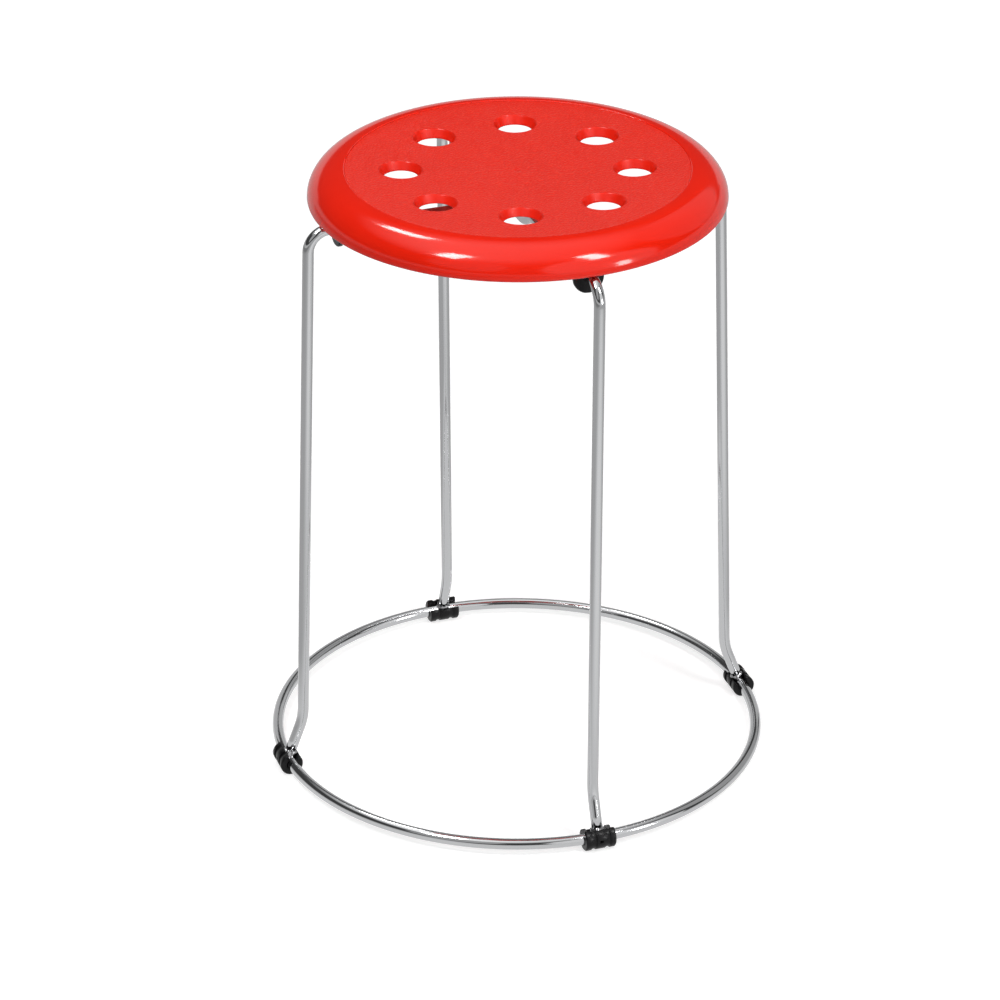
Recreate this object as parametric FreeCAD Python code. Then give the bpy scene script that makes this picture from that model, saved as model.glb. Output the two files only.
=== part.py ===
import FreeCAD, Part
import math
import os

from FreeCAD import Vector

# A stacking stool: a moulded plastic seat with eight round holes sits on two
# bent steel rods that cross under it. Each rod tucks under a moulded hook at one
# end and is clamped by a screwed clip at the other. A floor ring joins the four
# legs, and a plastic saddle snaps on the ring under each of them.
# Millimetres, degrees, +Z up, origin on the floor under the middle of the seat.
# The rods run along the X and Y axes, and the front is at -Y.

# Whole stool
stool_height = 450.0
seat_diameter = 293.0
rod_diameter = 8.0
weld_gap = 0.2
cut_overrun = 5.0
side_azimuths = {"right": 0, "rear": 90, "left": 180, "front": 270}
clip_sides = ["left", "front"]
hook_sides = ["right", "rear"]
ring_turn = -1.9
hole_turn = 3.0

# Rod frames
crossbar_drop = 26.0
leg_to_rim = 7.0
leg_splay_angle = 1.53
top_bend_radius = 15.5
kink_height = 40.0
kink_bend_radius = 45.0
stub_outset = 12.24
foot_stand_off = 2.0
joggle_outer_reach = 30.0
joggle_inner_reach = 14.0
joggle_bend_radius = 14.0

# Weld beads
ring_bead_height = 1.5
centre_bead_height = 1.2

# Seat shell
seat_wall = 3.0
lip_chamfer = 0.8
inner_flats = 4
rim_width = 26.0
panel_step = 0.5
panel_dish = 2.7
hole_pitch_share = 0.6739
hole_count = 8
hole_diameter = 24.3
hole_mouth_diameter = 30.4
hole_depth = 5.7
hole_edge_depth = 0.7
hole_edge_angle = 58.0
hole_collar_wall = 2.4

# Seat ribs, screw bosses and rod hooks
rib_thickness = 2.2
rib_depth = 8.5
hub_rib_radius = 28.0
outer_rib_inset = 10.5
boss_diameter = 9.0
hook_to_bend = 18.0
hook_length = 14.0
hook_wall = 2.6
hook_clearance = 0.2

# Rod clips
clip_to_bend = 3.5
clip_length = 24.0
clip_width = 15.0
clip_depth = 11.5
flange_width = 22.0
flange_depth = 17.0
flange_thickness = 4.2
clip_chamfer = 0.8
clip_clearance = 0.15
ear_width = 14.0
ear_thickness = 4.0

# Clip screws
screw_spread = 33.0
screw_shank_diameter = 3.6
screw_length = 15.0
screw_tip_length = 3.0
screw_head_diameter = 7.4
screw_head_height = 2.4
screw_head_rim = 0.9
screw_head_flat = 4.0
screw_clearance = 0.2

# Foot saddles
saddle_floor_drop = 8.0
saddle_length = 22.4
saddle_flange_radius = 8.3
saddle_flange_width = 4.2
saddle_collar_radius = 8.2
saddle_collar_width = 6.8
saddle_waist_radius = 7.5
saddle_chamfer = 0.8
saddle_slot_width = 4.8
saddle_mouth_width = 12.0
saddle_clearance = 0.15
pocket_clearance = 0.4
window_width = 2.6
window_height = 2.0
window_lift = 0.5

# Levels and radii that the pieces share
rod_radius = rod_diameter / 2
seat_radius = seat_diameter / 2
panel_radius = seat_radius - rim_width
crossbar_height = stool_height - crossbar_drop
rod_top_height = crossbar_height + rod_radius
ring_height = saddle_floor_drop
leg_slope = math.tan(math.radians(leg_splay_angle))
leg_top_radius = seat_radius + leg_to_rim
bend_start = leg_top_radius - top_bend_radius
kink_radius = leg_top_radius + (crossbar_height - kink_height) * leg_slope
ring_radius = kink_radius + stub_outset
ring_bead_radius = rod_radius + ring_bead_height
ring_point = Vector(ring_radius, 0, ring_height)
kink_point = Vector(kink_radius, 0, kink_height)
stub_direction = (kink_point - ring_point).normalize()
stub_lean = math.degrees(stub_direction.getAngle(Vector(0, 0, 1)))
foot_point = ring_point + stub_direction * foot_stand_off
crest_radius = panel_radius + panel_step
lip_height = rod_top_height + seat_wall / 2
hole_pitch_radius = panel_radius * hole_pitch_share
outer_rib_radius = panel_radius - outer_rib_inset
hook_start = bend_start - hook_to_bend - hook_length
clip_reach = bend_start - clip_to_bend
clip_start = clip_reach - clip_length
screw_reach = clip_start + ear_width / 2 + clip_chamfer
up = Vector(0, 0, 1)


def turned(shape, azimuth):
    """A copy of a shape turned about the stool's upright axis."""
    copy = shape.copy()
    copy.rotate(Vector(0, 0, 0), up, azimuth)
    return copy


def turned_point(point, azimuth):
    """A point turned about the stool's upright axis."""
    return FreeCAD.Rotation(up, azimuth).multVec(point)


def mirrored_point(point):
    """The same point on the opposite side of the stool."""
    return Vector(-point.x, -point.y, point.z)


def block(low, high):
    """A box between two opposite corners."""
    size = high - low
    return Part.makeBox(size.x, size.y, size.z, low)


def prism(points, direction):
    """A flat outline of straight lines, pushed along a direction."""
    return Part.Face(Part.makePolygon(points + points[:1])).extrude(direction)


def bent_path(corners, bend_radii):
    """Straight runs through the corners, with a tangent arc at each inner corner."""
    edges = []
    start = corners[0]
    for before, corner, after, radius in zip(corners, corners[1:], corners[2:], bend_radii):
        incoming = (corner - before).normalize()
        outgoing = (after - corner).normalize()
        half_turn = incoming.getAngle(outgoing) / 2
        reach = radius * math.tan(half_turn)
        arc_start = corner - incoming * reach
        arc_end = corner + outgoing * reach
        inward = (outgoing - incoming).normalize()
        arc_middle = corner + inward * (radius / math.cos(half_turn) - radius)
        edges.append(Part.LineSegment(start, arc_start).toShape())
        edges.append(Part.Arc(arc_start, arc_middle, arc_end).toShape())
        start = arc_end
    edges.append(Part.LineSegment(start, corners[-1]).toShape())
    return Part.Wire(edges)


def round_bar(corners, bend_radii, diameter):
    """A round bar bent along a path."""
    path = bent_path(corners, bend_radii)
    heading = corners[1] - corners[0]
    section = Part.Wire(Part.makeCircle(diameter / 2, corners[0], heading))
    return path.makePipeShell([section], True, False)


def floor_ring():
    """The rod hoop that joins the four legs just above the floor."""
    return Part.makeTorus(ring_radius, rod_radius, Vector(0, 0, ring_height), up)


def frame_corners(crossbar_points):
    """Corners of one rod frame, from one foot over the crossbar to the other.

    The ring is welded on a little turned, so each leg leans sideways to meet it.
    """
    top_point = Vector(leg_top_radius, 0, crossbar_height)
    foot = turned_point(foot_point, ring_turn)
    kink = turned_point(kink_point, ring_turn)
    near_side = [foot, kink, top_point]
    far_side = [mirrored_point(point) for point in reversed(near_side)]
    return near_side + crossbar_points + far_side


def rod_frame_x(ring):
    """The rod frame with a straight crossbar, its feet coped onto the ring."""
    bends = [kink_bend_radius, top_bend_radius, top_bend_radius, kink_bend_radius]
    bar = round_bar(frame_corners([]), bends, rod_diameter)
    return bar.cut(ring)


def rod_frame_y(ring):
    """The rod frame whose crossbar dips under the other one at the middle."""
    dip_height = crossbar_height - rod_diameter - weld_gap
    shoulder = Vector(joggle_outer_reach, 0, crossbar_height)
    dip = Vector(joggle_inner_reach, 0, dip_height)
    joggle = [shoulder, dip, mirrored_point(dip), mirrored_point(shoulder)]
    leg_bends = [kink_bend_radius, top_bend_radius]
    bends = leg_bends + [joggle_bend_radius] * len(joggle) + leg_bends[::-1]
    bar = round_bar(frame_corners(joggle), bends, rod_diameter)
    return turned(bar, side_azimuths["rear"]).cut(ring)


def ring_welds(ring, frames):
    """A bead of weld round each leg's foot, where it stands on the ring."""
    bead_centre = ring_point + stub_direction * rod_radius
    bead = Part.makeSphere(ring_bead_radius, bead_centre)
    beads = []
    for azimuth in side_azimuths.values():
        beads.append(turned(bead, azimuth + ring_turn).cut([ring] + frames))
    return Part.makeCompound(beads)


def centre_weld(frames):
    """The weld between the two crossbars, where one passes under the other."""
    crossing = Vector(0, 0, crossbar_height - rod_radius - weld_gap / 2)
    return Part.makeSphere(rod_radius + centre_bead_height, crossing).cut(frames)


def dish_height(radius):
    """The level of the panel's shallow spherical dish at a distance from its middle."""
    dish_radius = (panel_radius**2 + panel_dish**2) / 2 / panel_dish
    centre_height = stool_height - panel_step - panel_dish + dish_radius
    return centre_height - math.sqrt(dish_radius**2 - radius**2)


def quarter_ellipse(centre, side, top):
    """The quarter of an upright ellipse from its side to its top, whichever is longer."""
    if (side - centre).Length > (top - centre).Length:
        ellipse = Part.Ellipse(side, top, centre)
        return Part.ArcOfEllipse(ellipse, 0, math.pi / 2)
    ellipse = Part.Ellipse(top, centre + centre - side, centre)
    return Part.ArcOfEllipse(ellipse, -math.pi / 2, 0)


def skin(inset):
    """A skin of the seat in section, from the axis out to where its lip starts.

    The panel is a dish, a small step leads up to the rim, and the rim rolls
    over as a quarter ellipse.
    """
    dish_centre, dish_middle, dish_edge = [
        Vector(radius, 0, dish_height(radius) - inset)
        for radius in (0, panel_radius / 2, panel_radius)
    ]
    top = Vector(crest_radius, 0, stool_height - inset)
    side = Vector(seat_radius - inset, 0, lip_height)
    roll = quarter_ellipse(Vector(crest_radius, 0, lip_height), side, top)
    return [
        Part.Arc(dish_centre, dish_middle, dish_edge).toShape(),
        Part.LineSegment(dish_edge, top).toShape(),
        roll.toShape(),
    ]


def lip_and_core_points():
    """Corners in section of the lower lip and of the underside, from the rim inwards.

    The underside follows the upper skin in turned flats, a wall below it.
    """
    points = [
        Vector(seat_radius, 0, lip_height),
        Vector(seat_radius - lip_chamfer, 0, rod_top_height),
        Vector(seat_radius - seat_wall + lip_chamfer, 0, rod_top_height),
    ]
    for index in range(inner_flats + 1):
        angle = math.pi / 2 * index / inner_flats
        points.append(
            Vector(
                crest_radius + (seat_radius - seat_wall - crest_radius) * math.cos(angle),
                0,
                lip_height + (stool_height - seat_wall - lip_height) * math.sin(angle),
            )
        )
    points.append(Vector(hub_rib_radius, 0, dish_height(hub_rib_radius) - seat_wall))
    points.append(Vector(0, 0, points[-1].z))
    return points


def revolved(edges):
    """A solid turned about the stool's axis from the edges of its half section."""
    wire = Part.Wire(Part.__sortEdges__(edges))
    return Part.Face(wire).revolve(Vector(0, 0, 0), up, 360)


def joined_lines(points):
    """Straight edges from point to point."""
    return [Part.LineSegment(a, b).toShape() for a, b in zip(points, points[1:])]


def seat_shell():
    """The bare moulded shell, without its ribs and holes."""
    top = Vector(0, 0, dish_height(0))
    return revolved(skin(0) + joined_lines(lip_and_core_points() + [top]))


def rib_room():
    """The space that the ribs may fill: up to the middle of the wall."""
    inset = seat_wall / 2
    corners = [
        Vector(0, 0, dish_height(0) - inset),
        Vector(0, 0, 0),
        Vector(seat_radius - inset, 0, 0),
        Vector(seat_radius - inset, 0, lip_height),
    ]
    return revolved(skin(inset) + joined_lines(corners))


def hole_middles():
    """The middle of each hole's mouth, on the panel's surface, between the legs."""
    middle = Vector(hole_pitch_radius, 0, dish_height(hole_pitch_radius))
    for index in range(hole_count):
        yield turned_point(middle, (index + 1 / 2) * 360 / hole_count + hole_turn)


def funnel(middle, extra):
    """A hole's tapered inside, or its collar's outside when widened, run past both ends."""
    mouth_radius = hole_mouth_diameter / 2 + extra
    throat_radius = hole_diameter / 2 + extra
    taper = (mouth_radius - throat_radius) / hole_depth
    base = middle - up * hole_depth
    wide_radius = mouth_radius + taper * cut_overrun
    return Part.makeCone(throat_radius, wide_radius, hole_depth + cut_overrun, base)


def hole_collars():
    """The tapered tubes that stiffen the holes under the panel."""
    for middle in hole_middles():
        yield funnel(middle, hole_collar_wall)


def hole_bores():
    """What is taken out for the holes: a broken edge, a taper and a straight throat."""
    slope = math.tan(math.radians(hole_edge_angle))
    edge_height = hole_edge_depth + cut_overrun
    edge_radius = hole_mouth_diameter / 2
    for middle in hole_middles():
        base = middle - up * (hole_depth + cut_overrun)
        throat = Part.makeCylinder(hole_diameter / 2, hole_depth + cut_overrun, base)
        edge_base = middle - up * hole_edge_depth
        wide_radius = edge_radius + slope * cut_overrun
        narrow_radius = edge_radius - slope * hole_edge_depth
        edge = Part.makeCone(narrow_radius, wide_radius, edge_height, edge_base)
        yield funnel(middle, 0).fuse([throat, edge])


def seat_ribs():
    """Radial and round ribs, deepened near the rim, where the seat bears on the rods."""
    shallow_base = stool_height - rib_depth
    for index in range(hole_count):
        low = Vector(hub_rib_radius, -rib_thickness / 2, shallow_base)
        high = Vector(seat_radius, rib_thickness / 2, stool_height)
        gusset_low = Vector(outer_rib_radius, low.y, rod_top_height)
        rib = block(low, high).fuse(block(gusset_low, high))
        yield turned(rib, index * 360 / hole_count)
    for radius in (hub_rib_radius, outer_rib_radius):
        base = up * shallow_base
        outer = Part.makeCylinder(radius + rib_thickness / 2, rib_depth, base)
        inner = Part.makeCylinder(radius - rib_thickness / 2, rib_depth, base)
        yield outer.cut(inner)


def rod_hooks():
    """Moulded hooks that two of the rod ends turn into, all open to the same side."""
    inner = rod_radius + hook_clearance
    outer = inner + hook_wall
    lip_top = crossbar_height - inner
    lip_base = lip_top - hook_wall
    points = [
        Vector(hook_start, -rod_radius, lip_base),
        Vector(hook_start, outer, lip_base),
        Vector(hook_start, outer, stool_height),
        Vector(hook_start, inner, stool_height),
        Vector(hook_start, inner, lip_top),
        Vector(hook_start, -rod_radius, lip_top),
    ]
    hook = prism(points, Vector(hook_length, 0, 0))
    for side in hook_sides:
        yield turned(hook, side_azimuths[side])


def screw_places():
    """Where the clip screws stand, one on each side of a clamped rod."""
    for side in clip_sides:
        for half in (-1, 1):
            place = Vector(screw_reach, half * screw_spread / 2, 0)
            yield side_azimuths[side], place


def screw_bosses():
    """Posts under the rim that take the clip screws."""
    height = stool_height - rod_top_height
    for azimuth, place in screw_places():
        post = Part.makeCylinder(boss_diameter / 2, height, place + up * rod_top_height)
        yield turned(post, azimuth)


def screw_pilots():
    """Blind holes up the posts for the clip screws."""
    radius = (screw_shank_diameter + screw_clearance) / 2
    depth = screw_length - ear_thickness + screw_clearance
    for azimuth, place in screw_places():
        base = place + up * (rod_top_height - cut_overrun)
        yield turned(Part.makeCylinder(radius, depth + cut_overrun, base), azimuth)


def seat():
    """The moulded seat: a rolled shell with its ribs, posts, hooks and holes."""
    stiffeners = [*hole_collars(), *seat_ribs(), *screw_bosses(), *rod_hooks()]
    inside = stiffeners[0].multiFuse(stiffeners[1:]).common(rib_room())
    bores = [*hole_bores(), *screw_pilots()]
    return seat_shell().fuse(inside).cut(bores).removeSplitter()


def clip_section(width, depth, start, length):
    """A block with a round underside, hung from the level of the rods' top."""
    half_width = width / 2
    round_height = rod_top_height - depth + half_width
    corners = [
        Vector(start, -half_width, round_height),
        Vector(start, -half_width, rod_top_height),
        Vector(start, half_width, rod_top_height),
        Vector(start, half_width, round_height),
    ]
    lowest = Vector(start, 0, rod_top_height - depth)
    edges = [Part.LineSegment(a, b).toShape() for a, b in zip(corners, corners[1:])]
    edges.append(Part.Arc(corners[-1], lowest, corners[0]).toShape())
    return Part.Face(Part.Wire(edges)).extrude(Vector(length, 0, 0))


def clip_flange():
    """The half-disc at a clip's outer end, with its rims chamfered."""
    start = clip_reach - flange_thickness
    flange = clip_section(flange_width, flange_depth, start, flange_thickness)
    round_height = rod_top_height - flange_depth + flange_width / 2
    rims = [edge for edge in flange.Edges if edge.BoundBox.ZMin < round_height - clip_chamfer]
    return flange.makeChamfer(clip_chamfer, rims)


def clip_channel():
    """The room for the rod through a clip, open at the top."""
    radius = rod_radius + clip_clearance
    start = clip_start - cut_overrun
    length = clip_length + 2 * cut_overrun
    bore = Part.makeCylinder(radius, length, Vector(start, 0, crossbar_height), Vector(1, 0, 0))
    low = Vector(start, -radius, crossbar_height)
    high = Vector(start + length, radius, rod_top_height + cut_overrun)
    return bore.fuse(block(low, high))


def clip_ears():
    """The two lugs of a clip, rounded at their ends."""
    base = rod_top_height - ear_thickness
    half_spread = screw_spread / 2
    low = Vector(screw_reach - ear_width / 2, -half_spread, base)
    high = Vector(screw_reach + ear_width / 2, half_spread, rod_top_height)
    plate = block(low, high)
    for half in (-1, 1):
        place = Vector(screw_reach, half * half_spread, base)
        plate = plate.fuse(Part.makeCylinder(ear_width / 2, ear_thickness, place))
    return plate


def ear_holes():
    """The screw holes through a clip's lugs."""
    radius = screw_shank_diameter / 2 + screw_clearance
    height = ear_thickness + 2 * cut_overrun
    for half in (-1, 1):
        middle = Vector(screw_reach, half * screw_spread / 2, rod_top_height)
        yield Part.makeCylinder(radius, height, middle - up * (ear_thickness + cut_overrun))


def rod_clip():
    """A moulded saddle that clamps one rod up against the seat."""
    body = clip_section(clip_width, clip_depth, clip_start, clip_length - clip_chamfer)
    body = body.fuse([clip_flange(), clip_ears()])
    return body.cut([clip_channel(), *ear_holes()]).removeSplitter()


def clip_screw():
    """A pan-head tapping screw pointing up, its head under the clip's lug."""
    seat_height = rod_top_height - ear_thickness
    head_radius = screw_head_diameter / 2
    shank_radius = screw_shank_diameter / 2
    tip_height = seat_height + screw_length
    rim_height = seat_height - screw_head_rim
    face_height = seat_height - screw_head_height
    points = [
        Vector(0, 0, face_height),
        Vector(screw_head_flat / 2, 0, face_height),
        Vector(head_radius, 0, rim_height),
        Vector(head_radius, 0, seat_height),
        Vector(shank_radius, 0, seat_height),
        Vector(shank_radius, 0, tip_height - screw_tip_length),
        Vector(0, 0, tip_height),
        Vector(0, 0, face_height),
    ]
    return revolved(joined_lines(points))


def clip_screws():
    """All the clip screws."""
    screw = clip_screw()
    group = []
    for azimuth, place in screw_places():
        copy = screw.copy()
        copy.translate(place)
        group.append(turned(copy, azimuth))
    return Part.makeCompound(group)


def saddle_barrel():
    """The saddle's round outside: end flanges, shallow waists and a middle collar."""
    half_length = saddle_length / 2
    flange_start = half_length - saddle_flange_width
    collar_end = saddle_collar_width / 2
    half_profile = [
        (collar_end, saddle_collar_radius),
        (collar_end, saddle_waist_radius),
        (flange_start, saddle_waist_radius),
        (flange_start, saddle_flange_radius),
        (half_length - saddle_chamfer, saddle_flange_radius),
        (half_length, saddle_flange_radius - saddle_chamfer),
        (half_length, 0),
    ]
    profile = [(-along, radius) for along, radius in reversed(half_profile)] + half_profile
    points = [ring_point + Vector(0, along, radius) for along, radius in profile]
    outline = Part.Face(Part.makePolygon(points + points[:1]))
    return outline.revolve(ring_point, Vector(0, 1, 0), 360)


def saddle_slot():
    """The flared slot along the saddle's top, which snaps over the ring."""
    top = saddle_flange_radius + cut_overrun
    flare = (saddle_mouth_width - saddle_slot_width) / 2 / saddle_flange_radius
    half_base = saddle_slot_width / 2
    half_top = half_base + flare * top
    start = -saddle_length / 2 - cut_overrun
    corners = [(-half_base, 0), (-half_top, top), (half_top, top), (half_base, 0)]
    points = [ring_point + Vector(x, start, z) for x, z in corners]
    return prism(points, Vector(0, -2 * start, 0))


def saddle_leg_room():
    """The round pocket in an upright saddle's middle for the leg and its weld."""
    return Part.makeCylinder(ring_bead_radius + pocket_clearance, kink_height, ring_point)


def saddle_window():
    """The small opening through the saddle's outer wall."""
    half_size = Vector(0, window_width / 2, window_height / 2)
    middle = ring_point + up * window_lift
    return block(middle - half_size, middle + half_size + Vector(ring_radius, 0, 0))


def foot_saddle():
    """The snap-on plastic foot under a leg, leaning inwards with the leg's stub.

    Its underside is flat where it stands on the floor. The ring bows by a little
    over the saddle's length, and the straight bore leaves half of that each way.
    """
    body = saddle_barrel().cut([saddle_slot(), saddle_leg_room()])
    body.rotate(ring_point, Vector(0, 1, 0), -stub_lean)
    half_length = saddle_length / 2 + cut_overrun
    half_bow = (ring_radius - math.sqrt(ring_radius**2 - (saddle_length / 2) ** 2)) / 2
    bore_radius = rod_radius + half_bow + saddle_clearance
    bore_start = ring_point - Vector(half_bow, half_length, 0)
    bore = Part.makeCylinder(bore_radius, 2 * half_length, bore_start, Vector(0, 1, 0))
    reach = saddle_flange_radius + cut_overrun
    above_floor = block(
        Vector(ring_radius - reach, -half_length, 0),
        Vector(ring_radius + reach, half_length, ring_height + reach),
    )
    return body.common(above_floor).cut([bore, saddle_window()]).removeSplitter()


def build():
    """Every node of the stool by name."""
    ring = floor_ring()
    frames = [rod_frame_x(ring), rod_frame_y(ring)]
    nodes = {
        "seat": seat(),
        "rod_frame_x": frames[0],
        "rod_frame_y": frames[1],
        "floor_ring": ring,
        "ring_welds": ring_welds(ring, frames),
        "centre_weld": centre_weld(frames),
        "clip_screws": clip_screws(),
    }
    saddle = foot_saddle()
    for side, azimuth in side_azimuths.items():
        nodes["foot_saddle_" + side] = turned(saddle, azimuth + ring_turn)
    clip = rod_clip()
    for side in clip_sides:
        nodes["rod_clip_" + side] = turned(clip, side_azimuths[side])
    return nodes


os.makedirs("parts", exist_ok=True)
for name, shape in build().items():
    print(name, len(shape.Solids), shape.isValid(), round(shape.Volume))
    shape.exportStep("parts/" + name + ".step")
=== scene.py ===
import math

import bmesh
import bpy
import numpy as np
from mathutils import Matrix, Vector


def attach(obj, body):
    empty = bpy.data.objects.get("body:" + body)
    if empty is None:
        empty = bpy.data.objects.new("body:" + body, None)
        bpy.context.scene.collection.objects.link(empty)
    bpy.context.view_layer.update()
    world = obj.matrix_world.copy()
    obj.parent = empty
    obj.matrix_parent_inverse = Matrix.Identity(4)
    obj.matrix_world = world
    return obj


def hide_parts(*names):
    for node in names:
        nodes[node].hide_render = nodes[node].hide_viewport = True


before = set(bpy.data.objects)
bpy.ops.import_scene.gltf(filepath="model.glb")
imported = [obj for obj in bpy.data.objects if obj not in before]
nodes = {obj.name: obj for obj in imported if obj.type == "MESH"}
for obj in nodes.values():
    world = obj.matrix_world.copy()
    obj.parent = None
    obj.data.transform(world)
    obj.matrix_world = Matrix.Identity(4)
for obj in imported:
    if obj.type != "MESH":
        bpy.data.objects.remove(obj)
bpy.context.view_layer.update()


# The floor ring: a round steel rod of 8 mm, rolled into a hoop, butt welded and
# chrome plated. It stands in the four plastic saddles, just clear of the floor.

def rod_grid(path, across, bar_radius, steps):
    """The skin of a round bar, as a grid of rows along its path by points round it.

    Round each path point p lie p + r (cos v a + sin v b), where a is the given
    crosswise direction made square to the path and b is square to both.
    """
    along = np.gradient(path, axis=0)
    along /= np.linalg.norm(along, axis=1, keepdims=True)
    side = across - (across * along).sum(1, keepdims=True) * along
    side /= np.linalg.norm(side, axis=1, keepdims=True)
    other = np.cross(along, side)
    turn = np.linspace(0, 2 * np.pi, steps, endpoint=False)[None, :, None]
    spokes = np.cos(turn) * side[:, None] + np.sin(turn) * other[:, None]
    return path[:, None] + bar_radius * spokes


def grid_faces(rows, columns, loop_rows=False, loop_columns=False, first=0):
    """Four-sided faces between neighbouring rows and columns of a grid of points."""
    row = np.arange(rows if loop_rows else rows - 1)[:, None]
    column = np.arange(columns if loop_columns else columns - 1)[None, :]
    after_row = (row + 1) % rows
    after_column = (column + 1) % columns
    corners = [
        row * columns + column,
        row * columns + after_column,
        after_row * columns + after_column,
        after_row * columns + column,
    ]
    corners = [np.broadcast_to(c, corners[0].shape) for c in corners]
    return np.stack(corners, -1).reshape(-1, 4) + first


def end_fan(ring_first, columns, middle):
    """Triangles from one end row of a bar to a point in the middle of that end."""
    column = np.arange(columns)
    return np.stack(
        [ring_first + column, ring_first + (column + 1) % columns, np.full(columns, middle)], -1
    )


def closed_piece(name, points, faces, length_marks=None):
    """A smooth object from points and faces, turned inside out if its volume is negative.

    The volume is the sum over the faces' triangles of a . (b x c) / 6. Length marks
    give each point's place along and round its bar, and are kept as its UV map.
    """
    points = np.asarray(points, float).reshape(-1, 3)
    triangles = np.concatenate(
        [np.concatenate([f[:, [0, i, i + 1]] for i in range(1, f.shape[1] - 1)]) for f in faces]
    )
    a, b, c = (points[triangles[:, i]] for i in range(3))
    if (a * np.cross(b, c)).sum() < 0:
        faces = [f[:, ::-1] for f in faces]
    mesh = bpy.data.meshes.new(name)
    mesh.from_pydata(points.tolist(), [], [row for f in faces for row in f.tolist()])
    mesh.polygons.foreach_set("use_smooth", np.ones(len(mesh.polygons), bool))
    if length_marks is not None:
        corner_points = np.empty(len(mesh.loops), np.int64)
        mesh.loops.foreach_get("vertex_index", corner_points)
        layer = mesh.uv_layers.new(name="along")
        layer.uv.foreach_set("vector", np.asarray(length_marks, np.float32)[corner_points].ravel())
    mesh.update()
    piece = bpy.data.objects.new(name, mesh)
    bpy.context.scene.collection.objects.link(piece)
    return piece


ring_middle_radius = 0.176
ring_height = 0.008
rod_radius = 0.004
ring_steps = 360
tube_steps = 40
chrome_tone = (0.58, 0.585, 0.595)


def noise_texture(tree, place, scale, detail):
    """The value of a noise texture at the given place."""
    noise = tree.nodes.new("ShaderNodeTexNoise")
    noise.inputs["Scale"].default_value = scale
    noise.inputs["Detail"].default_value = detail
    tree.links.new(place, noise.inputs["Vector"])
    return noise.outputs["Fac"]


def mapped(tree, value, span, result, kind="LINEAR"):
    """A value carried from one span of numbers to another, and held at the ends."""
    carry = tree.nodes.new("ShaderNodeMapRange")
    carry.interpolation_type = kind
    carry.inputs["From Min"].default_value = span[0]
    carry.inputs["From Max"].default_value = span[1]
    carry.inputs["To Min"].default_value = result[0]
    carry.inputs["To Max"].default_value = result[1]
    tree.links.new(value, carry.inputs["Value"])
    return carry.outputs["Result"]


def bumped(tree, height, strength, distance):
    """A bump node over the given height."""
    bump = tree.nodes.new("ShaderNodeBump")
    bump.inputs["Strength"].default_value = strength
    bump.inputs["Distance"].default_value = distance
    tree.links.new(height, bump.inputs["Height"])
    return bump


def chrome_plate(name, tone):
    """Bright plating: a mirror with faint polishing lines along the bar and a slow ripple."""
    material = bpy.data.materials.new(name)
    material.use_nodes = True
    tree = material.node_tree
    shader = tree.nodes["Principled BSDF"]
    shader.inputs["Base Color"].default_value = (*tone, 1)
    shader.inputs["Metallic"].default_value = 1
    marks = tree.nodes.new("ShaderNodeUVMap")
    marks.uv_map = "along"
    stretch = tree.nodes.new("ShaderNodeMapping")
    stretch.inputs["Scale"].default_value = (9, 46, 1)
    tree.links.new(marks.outputs["UV"], stretch.inputs["Vector"])
    lines = noise_texture(tree, stretch.outputs["Vector"], scale=1, detail=5)
    gloss = mapped(tree, lines, (0.35, 0.7), (0.05, 0.13))
    tree.links.new(gloss, shader.inputs["Roughness"])
    place = tree.nodes.new("ShaderNodeTexCoord")
    ripple = noise_texture(tree, place.outputs["Object"], scale=55, detail=2)
    wave = bumped(tree, ripple, strength=0.04, distance=0.001)
    scratches = bumped(tree, lines, strength=0.05, distance=0.0002)
    tree.links.new(wave.outputs["Normal"], scratches.inputs["Normal"])
    tree.links.new(scratches.outputs["Normal"], shader.inputs["Normal"])
    return material


ring_turns = np.linspace(0, 2 * np.pi, ring_steps, endpoint=False)
hoop_path = np.stack(
    [
        ring_middle_radius * np.cos(ring_turns),
        ring_middle_radius * np.sin(ring_turns),
        np.full(ring_steps, ring_height),
    ],
    -1,
)
tube_turns = np.linspace(0, 2 * np.pi, tube_steps, endpoint=False)
outward = hoop_path * [1, 1, 0] / ring_middle_radius
hoop_grid = hoop_path[:, None] + rod_radius * (
    np.cos(tube_turns)[None, :, None] * outward[:, None]
    + np.sin(tube_turns)[None, :, None] * np.array([0, 0, 1.0])
)
hoop_marks = np.stack(
    np.broadcast_arrays(
        ring_middle_radius * np.abs(ring_turns - np.pi)[:, None],
        np.abs(tube_turns - np.pi)[None, :] / (2 * np.pi),
    ),
    -1,
).reshape(-1, 2)
hoop_faces = [grid_faces(ring_steps, tube_steps, True, True)]
floor_hoop = closed_piece("floor_hoop", hoop_grid, hoop_faces, hoop_marks)
floor_hoop.data.materials.append(chrome_plate("ring_chrome", chrome_tone))
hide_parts("floor_ring")
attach(floor_hoop, "root")


# The two leg rods: steel rod of 8 mm, each bent into a pair of legs and a crossbar
# and chrome plated. One crossbar is straight, and the other dips under it. Each leg
# ends in a short stub that leans out to the floor ring, to which it is welded.

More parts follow.
